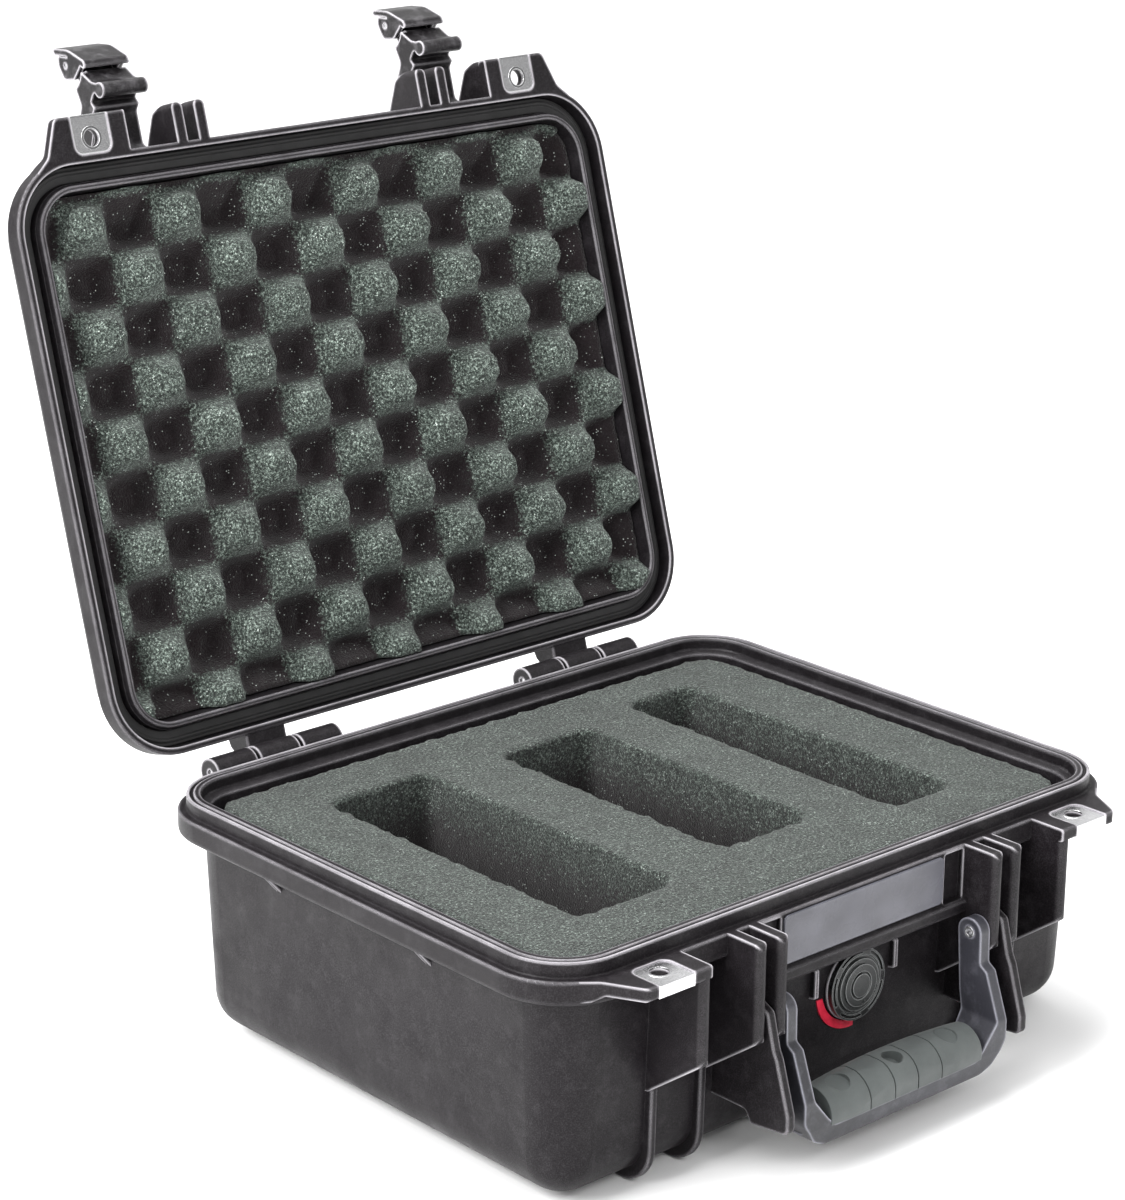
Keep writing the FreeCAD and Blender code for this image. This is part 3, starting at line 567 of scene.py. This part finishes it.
def lid_foam():
    """Convoluted foam pad of the lid, modelled closed and then swung open."""
    count_x = int(2 * CORE_X / LID_FOAM_STEP) + GRID_MARGIN
    count_y = int(2 * CORE_Y / LID_FOAM_STEP) + GRID_MARGIN
    shape = bmesh.new()
    front = []
    back = []
    shade_values = []
    for row in range(count_y + 1):
        front_row = []
        back_row = []
        for column in range(count_x + 1):
            part_x = 2 * column / count_x - 1
            part_y = 2 * row / count_y - 1
            plan_x = part_x * (CORE_X + EGG_PLAN_EDGE)
            plan_y = part_y * (CORE_Y + EGG_PLAN_EDGE)
            peak = egg_height(plan_x, plan_y)
            edge_x = CORE_X + EGG_PLAN_EDGE - abs(plan_x)
            edge_y = CORE_Y + EGG_PLAN_EDGE - abs(plan_y)
            filled = max(peak, EGG_RIM[1] * (1 - min(edge_x, edge_y) / EGG_RIM[0]))
            height = EGG_LOW + (EGG_HIGH - EGG_LOW) * filled
            for size, across, along, layer in EGG_RIPPLES:
                height += size * noise.noise(Vector((part_x * across, part_y * along, layer)))
            for level, target in ((height, front_row), (LID_FOAM_BACK, back_row)):
                half_x = CORE_X + lid_room(level)
                half_y = CORE_Y + lid_room(level)
                x, y = round_corner(part_x * half_x, part_y * half_y, half_x, half_y)
                target.append(shape.verts.new((x, y, PARTING_Z + level)))
                # Painted shade: the lower a point's peak value, the darker its valley is painted; the flat back is
                # fully dark.
                shade_values.append(clamp((EGG_LIT - peak) / EGG_SHADE_RANGE) if target is front_row else 1.0)
        front.append(front_row)
        back.append(back_row)
    for row in range(count_y):
        for column in range(count_x):
            corners = [(row, column), (row, column + 1), (row + 1, column + 1), (row + 1, column)]
            shape.faces.new([back[r][c] for r, c in corners])
            shape.faces.new([front[r][c] for r, c in reversed(corners)])
    border = [(0, column) for column in range(count_x)]
    border += [(row, count_x) for row in range(count_y)]
    border += [(count_y, column) for column in range(count_x, 0, -1)]
    border += [(row, 0) for row in range(count_y, 0, -1)]
    for (r1, c1), (r2, c2) in zip(border, border[1:] + border[:1]):
        shape.faces.new((front[r1][c1], front[r2][c2], back[r2][c2], back[r1][c1]))
    shape.transform(LID_SWING)
    mesh = bpy.data.meshes.new("foam_lid")
    shape.to_mesh(mesh)
    shape.free()
    pad = add_object("foam_lid", mesh)
    layer = mesh.attributes.new("painted_shade_amount", "FLOAT", "POINT")
    layer.data.foreach_set("value", shade_values)
    finish_foam(pad, LID_FOAM_LIT, "lid", "lid_foam")


base_foam()
lid_foam()


# ---- floor, light and camera -------------------------------------------------------
FLOOR_HALF = 6.0


def studio_floor():
    mesh = bpy.data.meshes.new("studio_floor")
    corners = [(x * FLOOR_HALF, y * FLOOR_HALF, 0) for x, y in ((-1, -1), (1, -1), (1, 1), (-1, 1))]
    mesh.from_pydata(corners, [], [(0, 1, 2, 3)])
    floor = add_object("studio_floor", mesh)
    shader = Shader("floor_paper", Roughness=0.85)
    shader.colour(shader.ramp(shader.noise(3.0), ((0.3, (0.86, 0.86, 0.86)), (0.7, (0.90, 0.90, 0.90)))))
    floor.data.materials.append(shader.material)


def soft_light(name, place, target, size, power):
    """Rectangular lamp facing its target; size is (width, height)."""
    light = bpy.data.lights.new(name, "AREA")
    light.shape = "RECTANGLE"
    light.size, light.size_y = size
    light.energy = power
    lamp = add_object(name, light)
    lamp.location = place
    aim = Vector(target) - Vector(place)
    lamp.rotation_euler = aim.to_track_quat("-Z", "Y").to_euler()


studio_floor()
soft_light("key_light", (-1.9, 0.1, 1.5), (0, 0, 0.15), (1.1, 1.1), 75.0)
soft_light("top_light", (-0.2, 0.7, 2.6), (0, 0.1, 0.15), (2.2, 1.6), 95.0)
soft_light("front_light", (-0.5, -2.2, 1.9), (0, 0, 0.2), (0.9, 0.7), 22.0)

world = bpy.data.worlds.new("studio")
world.use_nodes = True
world.node_tree.nodes["Background"].inputs["Color"].default_value = (1.0, 1.0, 1.0, 1.0)
world.node_tree.nodes["Background"].inputs["Strength"].default_value = 1.0
bpy.context.scene.world = world
bpy.context.scene.view_settings.view_transform = "Standard"

CAMERA_PLACE = Vector((-0.9495, -0.9927, 0.6504))
CAMERA_AIM = Vector((0.63805, 0.70289, -0.31439))
CAMERA_ROLL = 0.008
CAMERA_LENS = 101.15                # mm, for the sensor height below
SENSOR_HEIGHT = 36.0
camera_data = bpy.data.cameras.new("camera")
camera_data.sensor_fit = "VERTICAL"
camera_data.sensor_height = SENSOR_HEIGHT
camera_data.sensor_width = SENSOR_HEIGHT
camera_data.lens = CAMERA_LENS
camera = add_object("camera", camera_data)
turn = CAMERA_AIM.to_track_quat("-Z", "Y").to_matrix().to_4x4()
camera.matrix_world = Matrix.Translation(CAMERA_PLACE) @ turn @ Matrix.Rotation(CAMERA_ROLL, 4, "Z")
bpy.context.scene.camera = camera
